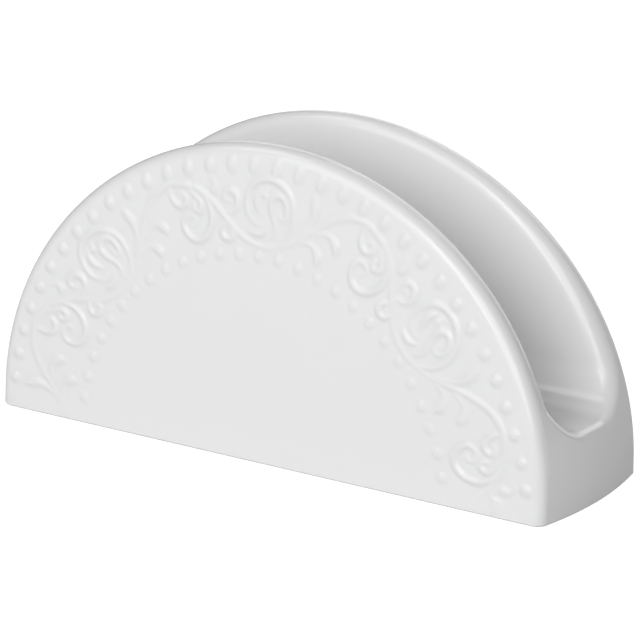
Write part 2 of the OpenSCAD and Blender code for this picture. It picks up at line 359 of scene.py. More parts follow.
@dataclass
class PatchMesh:
    """A mesh gathered from grids and flat faces, with exact normals at its corners."""

    name: str
    weld_digits: int = 3
    points: list[Points] = field(default_factory=list)
    shares: list[Points] = field(default_factory=list)
    faces: list[Points] = field(default_factory=list)
    normals: list[Points] = field(default_factory=list)
    count: int = 0
    built_normals: Points = field(default_factory=lambda: np.zeros((0, 3)))

    def add_points(self, points: Points, shares: Points) -> int:
        """Adds points.

        Args:
            points: The points.
            shares: Their relief shares.

        Returns:
            The number of the first one.
        """
        first = self.count
        self.points.append(points)
        self.shares.append(shares)
        self.count += len(points)
        return first

    def add_grid(self, grid: Points, normals: Points, share: Optional[Points] = None) -> None:
        """Adds a grid of quads that face the way of their normals.

        Args:
            grid: Points of shape (rows, columns, 3), in millimetres.
            normals: Unit normals of the same shape.
            share: For each point, how much of the relief it takes.
        """
        rows, cols = grid.shape[:2]
        pts, ns = grid.reshape(-1, 3), normals.reshape(-1, 3)
        share = np.zeros(rows * cols) if share is None else share.reshape(-1)
        a = (np.arange(rows - 1)[:, None] * cols + np.arange(cols - 1)).reshape(-1)
        quads = np.stack([a, a + cols, a + cols + 1, a + 1], 1)
        turn = np.cross(pts[quads[:, 2]] - pts[quads[:, 0]], pts[quads[:, 3]] - pts[quads[:, 1]])
        wrong = (turn * ns[quads].sum(1)).sum(1) < 0
        quads[wrong] = quads[wrong][:, ::-1]
        first = self.add_points(pts, share)
        self.faces.extend(quads + first)
        self.normals.extend(ns[quads])

    def add_face(self, ring: Points, normal: tuple[float, float, float]) -> None:
        """Adds one flat face.

        Args:
            ring: Points round the face, in millimetres.
            normal: The way that it faces.
        """
        ring = np.asarray(ring, float)
        turn = np.cross(ring, np.roll(ring, -1, 0)).sum(0)
        if np.dot(turn, normal) < 0:
            ring = ring[::-1]
        first = self.add_points(ring, np.zeros(len(ring)))
        self.faces.append(np.arange(first, first + len(ring)))
        self.normals.append(np.tile(np.array(normal, float), (len(ring), 1)))

    def build(self) -> Piece:
        """Joins the points that meet and makes the object.

        Returns:
            The object, linked to the scene, with its relief share as an attribute.
        """
        pts = np.concatenate(self.points)
        _, first, meets = np.unique(np.round(pts, self.weld_digits), axis=0, return_index=True,
                                    return_inverse=True)
        meets = meets.reshape(-1)
        faces, normals = [], []
        for face, ns in zip(self.faces, self.normals):
            ids = meets[face].tolist()
            keep = [k for k in range(len(ids)) if ids[k] != ids[k - 1]]
            if len({ids[k] for k in keep}) > 2:
                faces.append([ids[k] for k in keep])
                normals.append(ns[keep])
        mesh = bpy.data.meshes.new(self.name)
        mesh.from_pydata((pts[first] * MM).tolist(), [], faces)
        mesh.polygons.foreach_set("use_smooth", [True] * len(faces))
        share = mesh.attributes.new("relief_share", "FLOAT", "POINT")
        share.data.foreach_set("value", np.concatenate(self.shares)[first].astype(np.float32))
        mesh.update()
        self.built_normals = np.concatenate(normals)
        set_corner_normals(mesh, self.built_normals)
        return new_object(self.name, mesh)


def set_corner_normals(mesh: bpy.types.Mesh, normals: Points) -> None:
    """Gives a mesh one normal for each face corner."""
    mesh.normals_split_custom_set(unit(normals).tolist())


def vertex_normals(mesh: bpy.types.Mesh) -> Points:
    """The plain vertex normals of a mesh."""
    return np.array([tuple(v.vector) for v in mesh.vertex_normals], float)


def corner_vertices(mesh: bpy.types.Mesh) -> Points:
    """The vertex of each face corner."""
    return np.array([corner.vertex_index for corner in mesh.loops])


def operator(operation: str, turned: bool = False) -> Callable[["Num", Plain], "Num"]:
    """Makes one of the operators of Num.

    Args:
        operation: What the Math node does.
        turned: Whether the other value comes first.

    Returns:
        The method.
    """
    def work_out(one: "Num", other: Plain) -> "Num":
        """Adds the Math node."""
        return one.maker.math(operation, *((other, one) if turned else (one, other)))

    return work_out


class Num:
    """A number in a node tree, on which sums are written as usual."""

    def __init__(self, maker: "TreeMaker", socket: Socket) -> None:
        """Keeps the socket and the tree that it is in."""
        self.maker, self.socket = maker, socket

    __add__ = __radd__ = operator("ADD")
    __sub__ = operator("SUBTRACT")
    __rsub__ = operator("SUBTRACT", turned=True)
    __mul__ = __rmul__ = operator("MULTIPLY")
    __truediv__ = operator("DIVIDE")
    __pow__ = operator("POWER")


class TreeMaker:
    """Builds a node tree with short calls."""

    def __init__(self, tree: bpy.types.NodeTree) -> None:
        """Starts with an existing tree."""
        self.tree = tree
        self.identifiers: dict[str, str] = {}

    def add(self, kind: str, **settings: object) -> Node:
        """Adds a node.

        Args:
            kind: The kind of node.
            **settings: The node's own choices.

        Returns:
            The node.
        """
        node = self.tree.nodes.new(kind)
        for key, value in settings.items():
            setattr(node, key, value)
        return node

    def through(self, kind: str, first: object, given: Optional[dict] = None,
                **settings: object) -> Node:
        """Adds a node and fills its inputs.

        Args:
            kind: The kind of node.
            first: What goes into its first input.
            given: What goes into other inputs, by name or number.
            **settings: The node's own choices.

        Returns:
            The node.
        """
        node = self.add(kind, **settings)
        for name, value in {0: first, **(given or {})}.items():
            self.plug(value, node.inputs[name])
        return node

    def plug(self, value: object, socket: Socket) -> None:
        """Fills an input.

        Args:
            value: A number, a socket or a plain value.
            socket: The input.
        """
        if isinstance(value, Num):
            self.tree.links.new(value.socket, socket)
        elif isinstance(value, Socket):
            self.tree.links.new(value, socket)
        else:
            socket.default_value = value

    def math(self, operation: str, *values: Plain) -> Num:
        """Adds a Math node.

        Args:
            operation: What it does.
            *values: Its inputs.

        Returns:
            Its result.
        """
        node = self.add("ShaderNodeMath", operation=operation)
        for value, socket in zip(values, node.inputs):
            self.plug(value, socket)
        return Num(self, node.outputs[0])

    def clamped(self, number: Num) -> Num:
        """Keeps the result of a Math node between 0 and 1."""
        number.socket.node.use_clamp = True
        return number

    def vector(self, **parts: Plain) -> Socket:
        """Puts a vector together.

        Args:
            **parts: Its X, Y and Z, each 0 unless given.

        Returns:
            The vector.
        """
        node = self.add("ShaderNodeCombineXYZ")
        for name, value in parts.items():
            self.plug(value, node.inputs[name])
        return node.outputs[0]

    def position(self) -> list[Num]:
        """The x, y and z of each point."""
        place = self.add("GeometryNodeInputPosition").outputs[0]
        return [Num(self, part) for part in self.through("ShaderNodeSeparateXYZ", place).outputs]

    def noise(self, place: Socket, scale: float, detail: float = 2.0) -> Num:
        """A cloudy pattern between 0 and 1, so many times in a metre."""
        node = self.through("ShaderNodeTexNoise", place, {"Scale": scale, "Detail": detail})
        return Num(self, node.outputs["Fac"])

    def blend(self, share: Num, one: Colour, other: Colour) -> Socket:
        """Blends two colours.

        Args:
            share: Share of the other one.
            one: The first colour.
            other: The other colour.

        Returns:
            The colour between them.
        """
        node = self.through("ShaderNodeMix", share, data_type="RGBA",
                            given={k: (*c, 1) for k, c in zip(MIX_COLOURS, (one, other))})
        return node.outputs[MIXED_COLOUR]

    def bump(self, pattern: Num, height: float, under: Optional[Socket] = None) -> Socket:
        """Makes a surface look finely uneven.

        Args:
            pattern: The unevenness.
            height: Its height in metres.
            under: Normals of another one, which this one lies on.

        Returns:
            The normals.
        """
        node = self.add("ShaderNodeBump")
        self.plug(height, node.inputs["Distance"])
        self.plug(pattern, node.inputs["Height"])
        if under is not None:
            self.plug(under, node.inputs["Normal"])
        return node.outputs["Normal"]

    def named(self, name: str) -> Num:
        """Reads a number stored on the geometry."""
        node = self.through("GeometryNodeInputNamedAttribute", name, data_type="FLOAT")
        return Num(self, node.outputs["Attribute"])

    def store(self, geometry: Socket, name: str, value: Num) -> Socket:
        """Stores a number on the points of the geometry.

        Args:
            geometry: The geometry.
            name: Name of the number.
            value: The number.

        Returns:
            The geometry with the number.
        """
        node = self.through("GeometryNodeStoreNamedAttribute", geometry,
                            {"Name": name, "Value": value}, data_type="FLOAT", domain="POINT")
        return node.outputs["Geometry"]

    def group_input(self, name: str, kind: str, default: object = None) -> None:
        """Adds a named input to the tree.

        Args:
            name: Its name.
            kind: Its kind of socket.
            default: Its value, if it has one.
        """
        socket = self.tree.interface.new_socket(name=name, in_out="INPUT", socket_type=kind)
        if default is not None:
            socket.default_value = default
        self.identifiers[name] = socket.identifier


# Strokes of the scroll. A point is an angle in a repeat, in degrees, and a radius in millimetres.
VINE = [(3.2, 55.4), (6, 57.5), (8, 59.7), (10, 62.2), (12, 64.7), (14, 66.8), (16, 68.4),
        (18, 69.4), (20, 69.8), (22, 69.6), (24, 68.9), (26, 67.8), (28, 66.3), (30, 64.3),
        (31.7, 62.2), (33.4, 60), (35, 58), (36.8, 56.3), (39, 54.9), (42, 53.8), (45, 53.5),
        (48, 54.2), (51.04, 55.4)]
VOLUTE = [(25.6, 68.1), (27, 66.8), (28.4, 65.2), (29.4, 62.9), (29.8, 60.6), (29.3, 58.3),
          (28, 56.3), (26, 55.2), (24, 55.3), (22.5, 56.4), (21.6, 58.2), (21.6, 60), (22.7, 61.3),
          (24.2, 61.2), (25.2, 60.1), (24.9, 58.9), (24, 58.8)]
OVAL = [(49, 55), (50.6, 57.2), (51.5, 60), (51.4, 63), (50.6, 65.6), (49, 67.9), (46.8, 69.4),
        (44.3, 69.9), (41.9, 69.2), (40.2, 67.3), (39.3, 64.8), (39.3, 62), (40.3, 60),
        (41.9, 58.8), (43.4, 58.8)]
CURLS = [
    [(20.2, 69.2), (20.1, 67.2), (20.7, 65.2), (22, 64), (23.4, 64.4), (23.8, 65.8), (22.9, 66.8),
     (22.1, 66.2)],
    [(24.6, 67.4), (25.8, 66.2), (27, 64.6), (27.4, 63), (26.6, 61.9), (25.5, 62.3), (25.3, 63.7),
     (26.1, 64.2)],
    [(34, 61.1), (35.5, 61.2), (36.6, 62.4), (36.9, 64.2), (36.2, 65.8), (34.8, 66.4),
     (33.6, 65.6), (33.7, 64.1), (34.8, 63.7)],
    [(34.4, 58.4), (33, 57.9), (32.2, 56.6), (32.6, 55.3), (34, 54.7), (35.3, 55.3), (35.2, 56.6),
     (34.2, 56.7)],
    [(46.5, 56), (47.2, 57.6), (47, 59.6), (46.2, 61.4), (45.5, 63.3), (45.6, 65.2), (46.7, 66.4),
     (48.3, 66.1), (49.4, 64.4), (49.6, 62.3), (48.8, 60.9), (47.8, 61.4), (47.7, 62.8)],
    [(42.6, 67.2), (41.8, 65.4), (41.9, 63.3), (42.9, 61.4)],
    [(39.9, 57.2), (41.6, 56.5), (43.5, 56.7), (44.7, 57.8)]]
LEAVES = [
    [(5.6, 58.2), (7.2, 60.2), (8.2, 62.6), (8.5, 65.2), (7.9, 67.6), (7.3, 69.3)],
    [(10.4, 60.9), (12.4, 61.9), (14.4, 61.7), (15.9, 60.4), (16.4, 58.6)],
    [(7.2, 57.4), (9.2, 57.9), (11.1, 57.3), (12.3, 55.8), (12.6, 54)],
    [(30.4, 69.9), (31.2, 68.8), (31.3, 67.3), (30.6, 65.8)],
    [(44.1, 67.6), (43.8, 66.4), (44, 65.3)]]
LAST_LEAF = [(31, 64.8), (32.3, 63.6), (33.5, 64.3), (34.4, 66)]


@dataclass(frozen=True)
class BeadRow:
    """A row of beads, in millimetres and degrees.

    A bead's length is across the row, and it grows from the foot to the crest by the share growth.
    """

    name: str
    count: int
    radius: float
    first_angle: float
    length: float
    width: float
    height: float
    growth: float = 0.0


@dataclass(frozen=True)
class ScrollSizes:
    """Sizes of the scroll and bead band on a face, in millimetres and degrees.

    The band lies on circles round the middle of the foot line, a little askew. A place on the face,
    as a share of lay_reach, gives its place in the band by the two sums in lay_x and lay_v.
    """

    rows: tuple[BeadRow, ...] = (BeadRow("Outer", 34, 72.5, 6.81, 3.2, 3.1, 0.6, growth=0.45),
                                 BeadRow("Inner", 27, 51.0, 8.19, 3.0, 3.0, 0.42))
    bead_power: float = 0.8
    repeat_angle: float = 47.84
    first_angle: float = -1.0
    last_seen: float = 34.0
    repeats: int = 3
    tip_share: float = 0.45
    spread: float = 1.15
    line_step: float = 0.25
    softening: int = 2
    # Blur rounds for the hollow mask, which paints shade and a pooled-glaze tint into the relief's
    # hollows.
    pool_shade_rounds: int = 14
    lay_reach: float = 70.0
    lay_x: tuple[float, ...] = (1.688, -1.321, 4.512, -1.682, 1.791, -4.733)
    lay_v: tuple[float, ...] = (5.373, -0.153, -5.257, -0.012, -0.886, -0.682)

    def strokes(self) -> list[tuple[Stroke, list[tuple[float, float]], int, int]]:
        """Lists every stroke of the scroll.

        Returns:
            For each its kind, points, first repeat and number of repeats.
        """
        n = self.repeats
        last = [p for p in VINE if p[0] < self.last_seen]
        out = [(Stroke.STEM, VINE, 0, n), (Stroke.STEM, last, n, 1), (Stroke.LEAF, LAST_LEAF, n, 1)]
        for kind, table in ((Stroke.CURL, [VOLUTE, OVAL] + CURLS), (Stroke.LEAF, LEAVES)):
            for line in table:
                inside = max(p[0] for p in line) < self.last_seen
                out.append((kind, line, 0, n + 1 if inside else n))
        return out

    def stroke_object(self) -> Piece:
        """Makes the strokes as polylines.

        Returns:
            An object whose points are an angle in a repeat and a radius.
        """
        verts, edges = [], []
        kept = {name: [] for name in ("stroke_w", "stroke_h", "drop", "first_k", "repeats")}
        for kind, pts, first, count in self.strokes():
            start = len(verts)
            verts += [(angle, radius, 0.0) for angle, radius in pts]
            edges += [(start + i, start + i + 1) for i in range(len(pts) - 1)]
            width, relief, drop = kind.value
            values = (width * MM, relief * MM, drop, float(first), float(count))
            for name, value in zip(kept, values):
                kept[name] += [value] * len(pts)
        mesh = bpy.data.meshes.new("scroll_strokes")
        mesh.from_pydata(verts, edges, [])
        for name, values in kept.items():
            mesh.attributes.new(name, "FLOAT", "POINT").data.foreach_set("value", values)
        return new_object("scroll_strokes", mesh)


@dataclass
class ReliefTree:
    """The node tree that raises the beads and the scroll on a wall's face."""

    body: BodySizes
    band: ScrollSizes
    strokes: Piece

    def __post_init__(self) -> None:
        """Builds the tree with its named inputs."""
        tree = bpy.data.node_groups.new("face_relief", "GeometryNodeTree")
        self.maker = TreeMaker(tree)
        m = self.maker
        m.group_input("Wall", "NodeSocketGeometry")
        m.group_input("Strokes", "NodeSocketObject")
        m.group_input("Glaze", "NodeSocketMaterial")
        b, s = self.band, self.body
        self.values = {
            "Repeat angle": b.repeat_angle, "First angle": b.first_angle,
            "Tip share": b.tip_share, "Spread": b.spread,
            "Springing height": s.spring_h * MM, "Squash": s.arch_b / s.arch_a,
            "Lay reach": b.lay_reach * MM, "Lean": math.radians(s.wall_lean)}
        for row in b.rows:
            sizes = {"row radius": row.radius * MM, "bead length": row.length * MM,
                     "bead width": row.width * MM, "bead height": row.height * MM,
                     "beads": float(row.count), "row angle": row.first_angle,
                     "bead growth": row.growth}
            self.values.update({f"{row.name} {key}": value for key, value in sizes.items()})
        for axis, sums in (("x", b.lay_x), ("v", b.lay_v)):
            self.values.update({f"Lay {axis} {i}": c * MM for i, c in enumerate(sums)})
        for name, value in self.values.items():
            m.group_input(name, "NodeSocketFloat", value)
        m.group_input("Softening", "NodeSocketInt", b.softening)
        tree.interface.new_socket(name="Geometry", in_out="OUTPUT",
                                  socket_type="NodeSocketGeometry")
        self.inputs = m.add("NodeGroupInput")
        self.fill()

    def size(self, name: str) -> Num:
        """One of the tree's named sizes."""
        return Num(self.maker, self.inputs.outputs[name])

    def band_place(self, x: Num, v: Num) -> tuple[Num, Num]:
        """Finds the place in the band's own plane of a point of the face.

        Args:
            x: Place along the face.
            v: Place up the face.

        Returns:
            Places along and up the band's plane.
        """
        rise = v - self.size("Springing height")
        a, b = x / self.size("Lay reach"), rise / self.size("Lay reach")
        parts = [a, b, a * a, a * b, b * b]
        out = []
        for axis, plain in (("x", x), ("v", rise / self.size("Squash"))):
            total = plain + self.size(f"Lay {axis} 0")
            for i, part in enumerate(parts, 1):
                total = total + part * self.size(f"Lay {axis} {i}")
            out.append(total)
        return out[0], out[1]

    def scroll_lines(self) -> Socket:
        """Repeats the strokes along the band in its own plane.

        Returns:
            Fine lines as a mesh.
        """
        m = self.maker
        info = m.through("GeometryNodeObjectInfo", self.inputs.outputs["Strokes"],
                         transform_space="ORIGINAL")
        curve = m.through("GeometryNodeMeshToCurve", info.outputs["Geometry"])
        copies = m.through("GeometryNodeDuplicateElements", curve.outputs["Curve"],
                           {"Amount": m.named("repeats")}, domain="SPLINE")
        repeat = m.named("first_k") + Num(m, copies.outputs["Duplicate Index"])
        s, t, _ = m.position()
        angle = m.math("RADIANS", self.size("First angle") + repeat * self.size("Repeat angle") + s)
        r = t * MM
        place = m.vector(X=r * m.math("COSINE", angle) * -1.0, Y=r * m.math("SINE", angle))
        lay = m.through("GeometryNodeSetPosition", copies.outputs["Geometry"], {"Position": place})
        smooth = m.through("GeometryNodeCurveSplineType", lay.outputs[0], spline_type="CATMULL_ROM")
        fine = m.through("GeometryNodeResampleCurve", smooth.outputs[0],
                         {"Length": self.band.line_step * MM}, mode="LENGTH")
        along = m.add("GeometryNodeSplineParameter")
        swell = m.math("SINE", Num(m, along.outputs["Factor"]) ** m.named("drop") * math.pi)
        tip = self.size("Tip share")
        kept = m.store(fine.outputs[0], "swell", tip + (1.0 - tip) * swell)
        return m.through("GeometryNodeCurveToMesh", kept).outputs["Mesh"]

    def scroll_height(self, lines: Socket, x: Num, v: Num) -> Num:
        """Height of the scroll at each point of the wall.

        Args:
            lines: The scroll's lines.
            x: Place along the band's plane.
            v: Place up the band's plane.

        Returns:
            The height as a field.
        """
        m = self.maker
        place = {"Sample Position": m.vector(X=x, Y=v)}
        near = m.through("GeometryNodeProximity", lines, place, target_element="EDGES")
        index = m.through("GeometryNodeSampleNearest", lines, place, domain="POINT")
        sampled = []
        for name in ("swell", "stroke_w", "stroke_h"):
            pick = m.through("GeometryNodeSampleIndex", lines,
                             {"Value": m.named(name), "Index": index.outputs["Index"]},
                             data_type="FLOAT", domain="POINT")
            sampled.append(Num(m, pick.outputs["Value"]))
        swell, width, height = sampled
        off = Num(m, near.outputs["Distance"]) * 2.0 / (swell * width * self.size("Spread"))
        inside = m.clamped(1.0 - off)
        return height * swell * (inside * (2.0 - inside))

    def bead_height(self, row: str, x: Num, v: Num, angle: Num) -> Num:
        """Height of a row of beads at each point of the wall.

        Args:
            row: Name of the row.
            x: Place along the band's plane.
            v: Place up the band's plane.
            angle: Angle of the point from the left foot, in degrees.

        Returns:
            The height as a field.
        """
        m = self.maker
        last = self.size(f"{row} beads") - 1.0
        start = self.size(f"{row} row angle")
        step = (180.0 - 2.0 * start) / last
        i = m.math("MAXIMUM", m.math("ROUND", (angle - start) / step), 0.0)
        i = m.math("MINIMUM", i, last)
        a = m.math("RADIANS", start + i * step)
        sin, cos = m.math("SINE", a), m.math("COSINE", a)
        r = self.size(f"{row} row radius")
        dx, dv = x + r * cos, v - r * sin
        grown = 1.0 + sin * sin * self.size(f"{row} bead growth")
        across = (dv * sin - dx * cos) * 2.0 / (self.size(f"{row} bead length") * grown)
        along = (dx * sin + dv * cos) * 2.0 / self.size(f"{row} bead width")
        inside = m.clamped(1.0 - (across * across + along * along))
        return self.size(f"{row} bead height") * inside ** self.band.bead_power

    def fill(self) -> None:
        """Joins the heights, softens them, and moves the face by them."""
        m = self.maker
        x, _, z = m.position()
        lean = self.size("Lean")
        x, v = self.band_place(x, z / m.math("COSINE", lean))
        angle = m.math("DEGREES", m.math("ARCTAN2", v, x * -1.0))
        total = self.scroll_height(self.scroll_lines(), x, v)
        for row in self.band.rows:
            total = m.math("MAXIMUM", total, self.bead_height(row.name, x, v, angle))
        raised = m.store(self.inputs.outputs["Wall"], "relief", total * m.named("relief_share"))
        height = m.named("relief")
        softened = m.store(raised, "relief", self.blurred(height, self.inputs.outputs["Softening"]))
        # Hollow: how far a point lies below its blurred neighbours. The glaze paints shade there,
        # with a slight tint of pooled glaze.
        below = self.blurred(height, self.band.pool_shade_rounds) - height
        hollow = m.store(softened, "hollow", below / self.size("Outer bead height"))
        offset = m.vector(Y=height * m.math("COSINE", lean) * -1.0, Z=height * m.math("SINE", lean))
        move = m.through("GeometryNodeSetPosition", hollow, {"Offset": offset})
        real = m.through("GeometryNodeRealizeInstances", move.outputs[0])
        dress = m.through("GeometryNodeSetMaterial", real.outputs[0],
                          {"Material": self.inputs.outputs["Glaze"]})
        m.through("NodeGroupOutput", dress.outputs[0])

    def blurred(self, value: Num, rounds: object) -> Num:
        """Evens a number out over the neighbours of each point.

        Args:
            value: The number.
            rounds: How many times.

        Returns:
            The even number.
        """
        node = self.maker.through("GeometryNodeBlurAttribute", value, {"Iterations": rounds},
                                  data_type="FLOAT")
        return Num(self.maker, node.outputs["Value"])

    def raise_on(self, wall: Piece, normals: Points, glaze: Material) -> Points:
        """Raises the relief on a wall and leaves it as a plain mesh.

        Args:
            wall: The wall, whose points on the face have a relief share.
            normals: Its corner normals.
            glaze: The material that it gets.

        Returns:
            The corner normals with the relief.
        """
        before = vertex_normals(wall.data)
        mod = wall.modifiers.new("relief", "NODES")
        mod.node_group = self.maker.tree
        more = {"Strokes": self.strokes, "Glaze": glaze, "Softening": self.band.softening}
        for name, value in {**self.values, **more}.items():
            mod[self.maker.identifiers[name]] = value
        bpy.context.view_layer.update()
        graph = bpy.context.evaluated_depsgraph_get()
        mesh = bpy.data.meshes.new_from_object(wall.evaluated_get(graph))
        wall.modifiers.remove(mod)
        old, wall.data = wall.data, mesh
        bpy.data.meshes.remove(old)
        mesh.name = wall.name
        return normals + (vertex_normals(mesh) - before)[corner_vertices(mesh)]


def new_material(name: str) -> tuple[Material, TreeMaker, Node]:
    """Makes a material.

    Args:
        name: Its name.

    Returns:
        The material, its tree and its shader.
    """
    mat = bpy.data.materials.new(name)
    mat.use_nodes = True
    return mat, TreeMaker(mat.node_tree), mat.node_tree.nodes["Principled BSDF"]


@dataclass(frozen=True)
class GlazeFinish:
    """White glossy glaze. A scale is so many repeats in a metre, and heights are in metres."""

    name: str = "white_glaze"
    colour: Colour = (0.84, 0.84, 0.84)
    # Darker, slightly cooler colour for the hollows: painted shade with a slight tint of pooled
    # glaze.
    pooled_tint_and_shade: Colour = (0.78, 0.785, 0.79)
    pool_shade_gain: float = 2.0
    pool_shade_share: float = 0.7
    cloud_scale: float = 30.0
    cloud_detail: float = 3.0
    ior: float = 1.5
    roughness: float = 0.09
    roughness_range: float = 0.04
    speck_scale: float = 220.0
    wave_scale: float = 45.0
    wave_height: float = 0.0002
    peel_scale: float = 900.0
    peel_height: float = 0.000004
    smooth_detail: float = 1.0

    def material(self) -> Material:
        """Builds the material: even white, painted shade and pooled tint in hollows, over soft
        waves.

        Returns:
            The material.
        """
        mat, m, shader = new_material(self.name)
        place = m.add("ShaderNodeTexCoord").outputs["Object"]
        pool_shade_mask = m.add("ShaderNodeAttribute", attribute_name="hollow").outputs["Fac"]
        depth = m.clamped(Num(m, pool_shade_mask) * self.pool_shade_gain)
        cloud = m.noise(place, self.cloud_scale, self.cloud_detail)
        # The hollow mask paints shade into the relief's hollows. Random cloud adds uneven tone
        # towards the same colour.
        share = depth * self.pool_shade_share + cloud * (1 - self.pool_shade_share)
        speck = m.noise(place, self.speck_scale) * self.roughness_range
        wave = m.bump(m.noise(place, self.wave_scale, self.smooth_detail), self.wave_height)
        peel = m.noise(place, self.peel_scale, self.smooth_detail)
        m.plug(self.ior, shader.inputs["IOR"])
        m.plug(m.blend(share, self.colour, self.pooled_tint_and_shade), shader.inputs["Base Color"])
        m.plug(speck + (self.roughness - self.roughness_range / 2), shader.inputs["Roughness"])
        m.plug(m.bump(peel, self.peel_height, wave), shader.inputs["Normal"])
        return mat


@dataclass(frozen=True)
class BiscuitFinish:
    """Bare fired porcelain of the foot, warm and matt with a fine grain."""

    name: str = "bare_biscuit"
    colour: Colour = (0.72, 0.69, 0.63)
    dark: Colour = (0.6, 0.56, 0.5)
    roughness: float = 0.6
    roughness_range: float = 0.2
    grain_scale: float = 1400.0
    grain_detail: float = 4.0
    grain_height: float = 0.00004

    def material(self) -> Material:
        """Builds the material with grain in colour, roughness and bump.

        Returns:
            The material.
        """
        mat, m, shader = new_material(self.name)
        place = m.add("ShaderNodeTexCoord").outputs["Object"]
        grain = m.noise(place, self.grain_scale, self.grain_detail)
        m.plug(m.blend(grain, self.colour, self.dark), shader.inputs["Base Color"])
        m.plug(grain * self.roughness_range + self.roughness, shader.inputs["Roughness"])
        m.plug(m.bump(grain, self.grain_height), shader.inputs["Normal"])
        return mat


def finish_piece(obj: Piece, material: Material, slot: str, *nodes: str) -> None:
    """Dresses a piece, makes it ride, and reports it.

    Args:
        obj: The piece.
        material: Its material.
        slot: Not used.
        nodes: The CAD nodes that it stands for.
    """
    obj.data.materials.clear()
    obj.data.materials.append(material)
    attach(obj, BODY)
    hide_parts(*nodes)
    log.info("%s: %d faces for %s", obj.name, len(obj.data.polygons), ", ".join(nodes))


@dataclass
class WallPlate:
    """One of the two half-round walls, with its soft rim and its relief."""

    side: Side
    skin: GlazedSkin
    stations: int = 620
    side_steps: int = 3
    plain_shares: tuple[float, ...] = (0, 0.1, 0.2, 0.3, 0.4, 0.48, 0.55)
    inner_share: float = 0.6
    fine_rings: int = 84
    edge_steps: int = 10
    flat_steps: int = 4
    tuck_steps: int = 4

    def outline(self) -> tuple[Points, Points]:
        """Stations round the wall from the right foot to the left.

        Returns:
            The stations and their normals, in x and z.
        """
        s = self.skin.sizes
        arch, normals = s.arch_stations(np.linspace(0, 180, self.stations + 1))
        n = self.side_steps
        side = np.array([[s.arch_a, s.low + (s.spring_h - s.low) * k / n] for k in range(n)])
        out = np.tile([1.0, 0.0], (n, 1))
        way = np.array([-1.0, 1.0])
        return (np.concatenate([side, arch, side[::-1] * way]),
                np.concatenate([out, normals, out * way]))

    def rows(self) -> tuple[Points, Points]:
        """The wall's skin as a grid, stations along it and the way from middle to seam across it.

        Returns:
            The points and their relief shares.
        """
        s = self.skin.sizes
        pts, out = self.outline()

        def at_depth(p: Points, y: Points) -> Points:
            """Stations at a depth, pushed out by the bow of the ends."""
            return np.stack([p[:, 0] + s.bow(y, p[:, 1]) * out[:, 0], y, p[:, 1]], -1)

        middle = np.array([0.0, s.low])
        edge = pts - s.face_r * out
        fine = np.linspace(self.inner_share, 1, self.fine_rings)
        shares = np.concatenate([self.plain_shares, fine])
        cols = []
        for share in shares:
            p = middle + share * (edge - middle)
            cols.append(np.stack([p[:, 0], s.face_y(p[:, 1]), p[:, 1]], -1))
        for a in np.linspace(0, math.pi / 2, self.edge_steps + 1)[1:]:
            p = pts - s.face_r * (1 - math.sin(a)) * out
            cols.append(at_depth(p, s.face_y(p[:, 1]) + s.face_r * (1 - math.cos(a))))
        start = cols[-1][:, 1]
        for k in range(1, self.flat_steps + 1):
            cols.append(at_depth(pts, start + (-s.seam_y(pts[:, 1]) - start) * k / self.flat_steps))
        grid = np.stack(cols, 1)
        relief = np.zeros(grid.shape[:2])
        relief[:, :len(shares)] = shares >= self.inner_share
        free = free_axes(grid, np.s_[:, -1, 1], np.s_[[0, -1], :, 2])
        return self.skin.settle(grid, free), relief

    def build(self, relief: ReliefTree, glaze: Material) -> None:
        """Makes the wall, raises its relief, and puts it in its place.

        Args:
            relief: The tree that raises its relief.
            glaze: Its material.
        """
        side = self.side.value
        grid, share = self.rows()
        mesh = PatchMesh(f"{side}_wall")
        mesh.add_grid(grid, self.skin.normals(grid), share)
        line = np.concatenate([grid[0, ::-1], grid[-1, 1:]])
        under = self.skin.tuck(line, self.tuck_steps, np.array([1, 0, 0]))
        mesh.add_grid(under, self.skin.normals(under))
        mesh.add_face(under[-1], (0, 0, -1))
        seam = np.concatenate([under[::-1, 0], grid[1:-1, -1], under[:, -1]])
        mesh.add_face(seam, (0, 1, 0))
        obj = mesh.build()
        normals = relief.raise_on(obj, mesh.built_normals, glaze)
        if self.side is Side.BACK:
            obj.data.transform(Matrix.Rotation(math.pi, 4, "Z"))
            normals = normals * np.array([-1.0, -1.0, 1.0])
        set_corner_normals(obj.data, normals)
        nodes = [f"{side}_{node}" for node in ("wall", "outer_beads", "inner_beads", "scroll_stems",
                                               "scroll_curls", "scroll_leaves")]
        finish_piece(obj, glaze, "glaze", *nodes)


